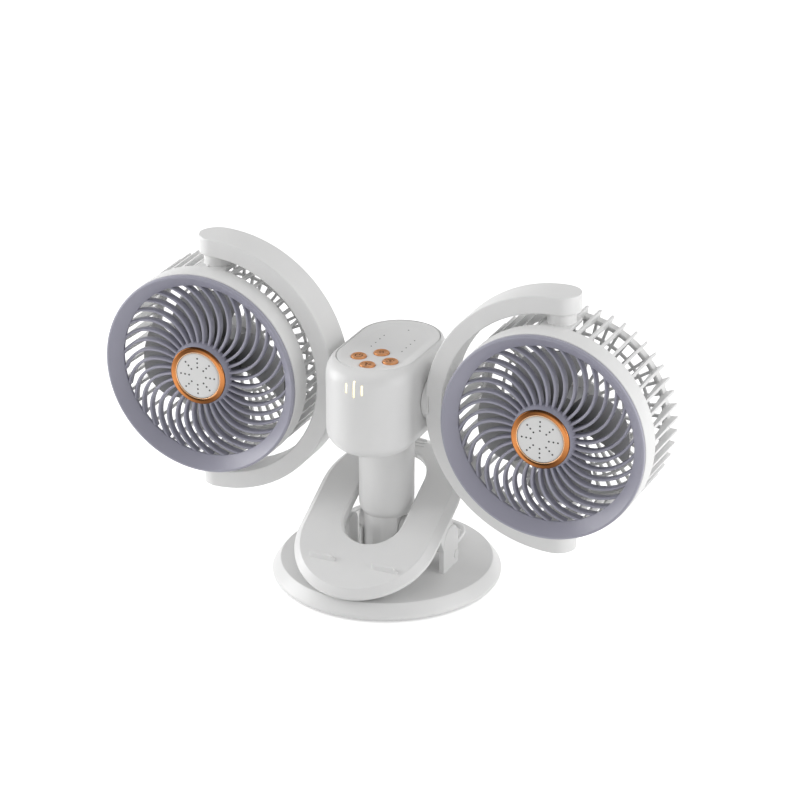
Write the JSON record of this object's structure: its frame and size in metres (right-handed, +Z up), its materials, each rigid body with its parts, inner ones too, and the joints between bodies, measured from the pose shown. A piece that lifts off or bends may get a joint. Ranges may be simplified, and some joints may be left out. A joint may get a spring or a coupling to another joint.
{
  "type": "twin head fan",
  "caption": "Twin-head desk fan: caged heads in swivelling yokes beside a control head, on a tilting column over a weighted round base with a clip plate and a hanging loop.",
  "frame": {"origin": "middle of the underside of the base", "axes": "+Z up, +X to the right of someone facing the buttons, the fans blow towards -Y"},
  "size_m": [0.3758, 0.15, 0.2181],
  "materials": {
    "white_plastic": "satin",
    "lilac_plastic": "satin",
    "copper_trim": "plated",
    "grey_plastic": "satin",
    "rubber": "matte",
    "steel": "plain",
    "lamp": "diffusing",
    "circuit_board": "coated",
    "cell": "wrapped",
    "motor_case": "plated"
  },
  "bodies": {
    "base": {"base_shell": "white_plastic", "base_bottom_cover": "white_plastic", "base_foot_pad": "rubber", "base_weight": "steel", "column_tilt_pin": "steel", "left_hinge_pin": "steel", "right_hinge_pin": "steel", "left_clip_spring": "steel", "right_clip_spring": "steel"},
    "clip": {"clip_plate": "white_plastic", "jaw_pad": "rubber"},
    "loop": {"hanging_loop": "white_plastic"},
    "column": {"column_tube": "white_plastic", "swivel_collar": "grey_plastic"},
    "head": {"head_shell": "white_plastic", "head_top_panel": "white_plastic", "light_guide": "lamp", "control_board": "circuit_board", "battery_cradle": "grey_plastic", "battery_left": "cell", "battery_right": "cell", "charge_socket": "steel"},
    "button_left": {"button_left": "copper_trim"},
    "button_front": {"button_front": "copper_trim"},
    "button_back": {"button_back": "copper_trim"},
    "button_right": {"button_right": "copper_trim"},
    "left_yoke": {"left_yoke": "white_plastic", "left_yoke_retainer": "grey_plastic", "left_pan_pin_top": "steel", "left_pan_pin_bottom": "steel"},
    "left_fan": {"left_front_grille": "lilac_plastic", "left_hub_trim": "copper_trim", "left_hub_cap": "white_plastic", "left_rear_housing": "white_plastic", "left_motor": "motor_case"},
    "left_impeller": {"left_impeller": "grey_plastic", "left_motor_shaft": "steel"},
    "right_yoke": {"right_yoke": "white_plastic", "right_yoke_retainer": "grey_plastic", "right_pan_pin_top": "steel", "right_pan_pin_bottom": "steel"},
    "right_fan": {"right_front_grille": "lilac_plastic", "right_hub_trim": "copper_trim", "right_hub_cap": "white_plastic", "right_rear_housing": "white_plastic", "right_motor": "motor_case"},
    "right_impeller": {"right_impeller": "grey_plastic", "right_motor_shaft": "steel"}
  },
  "joints": [
    {"name": "clip_hinge", "type": "hinge", "parent": "base", "child": "clip", "pos_m": [0, 0.001, 0.0303], "axis": [-1, 0, 0], "range_deg": [0, 22], "stiffness_Nm_per_rad": 0.4, "springref_deg": -40.11, "deforming": ["left_clip_spring", "right_clip_spring"]},
    {"name": "loop_fold", "type": "hinge", "parent": "base", "child": "loop", "pos_m": [0, 0.009, 0.0185], "axis": [1, 0, 0], "range_deg": [0, 50]},
    {"name": "column_tilt", "type": "hinge", "parent": "base", "child": "column", "pos_m": [0, 0, 0.035], "axis": [1, 0, 0], "range_deg": [-15, 30]},
    {"name": "head_swivel", "type": "hinge", "parent": "column", "child": "head", "pos_m": [0, 0, 0.102], "axis": [0, 0, 1], "range_deg": [-90, 90]},
    {"name": "left_yoke_tilt", "type": "hinge", "parent": "head", "child": "left_yoke", "pos_m": [-0.0321, 0, 0.1308], "axis": [1, 0, 0], "range_deg": [-90, 90]},
    {"name": "left_fan_pan", "type": "hinge", "parent": "left_yoke", "child": "left_fan", "pos_m": [-0.11939, 0, 0.1308], "axis": [0, 0, 1], "range_deg": [-90, 90]},
    {"name": "left_impeller_spin", "type": "hinge", "parent": "left_fan", "child": "left_impeller", "pos_m": [-0.11939, 0, 0.1308], "axis": [0, 1, 0], "continuous": true},
    {"name": "right_yoke_tilt", "type": "hinge", "parent": "head", "child": "right_yoke", "pos_m": [0.0321, 0, 0.1308], "axis": [1, 0, 0], "range_deg": [-90, 90]},
    {"name": "right_fan_pan", "type": "hinge", "parent": "right_yoke", "child": "right_fan", "pos_m": [0.11939, 0, 0.1308], "axis": [0, 0, 1], "range_deg": [-90, 90]},
    {"name": "right_impeller_spin", "type": "hinge", "parent": "right_fan", "child": "right_impeller", "pos_m": [0.11939, 0, 0.1308], "axis": [0, 1, 0], "continuous": true},
    {"name": "button_left_press", "type": "slide", "parent": "head", "child": "button_left", "axis": [0, 0, -1], "range_m": [0, 0.0008], "stiffness_N_per_m": 500, "springref_m": -0.0006},
    {"name": "button_front_press", "type": "slide", "parent": "head", "child": "button_front", "axis": [0, 0, -1], "range_m": [0, 0.0008], "stiffness_N_per_m": 500, "springref_m": -0.0006},
    {"name": "button_back_press", "type": "slide", "parent": "head", "child": "button_back", "axis": [0, 0, -1], "range_m": [0, 0.0008], "stiffness_N_per_m": 500, "springref_m": -0.0006},
    {"name": "button_right_press", "type": "slide", "parent": "head", "child": "button_right", "axis": [0, 0, -1], "range_m": [0, 0.0008], "stiffness_N_per_m": 500, "springref_m": -0.0006}
  ]
}
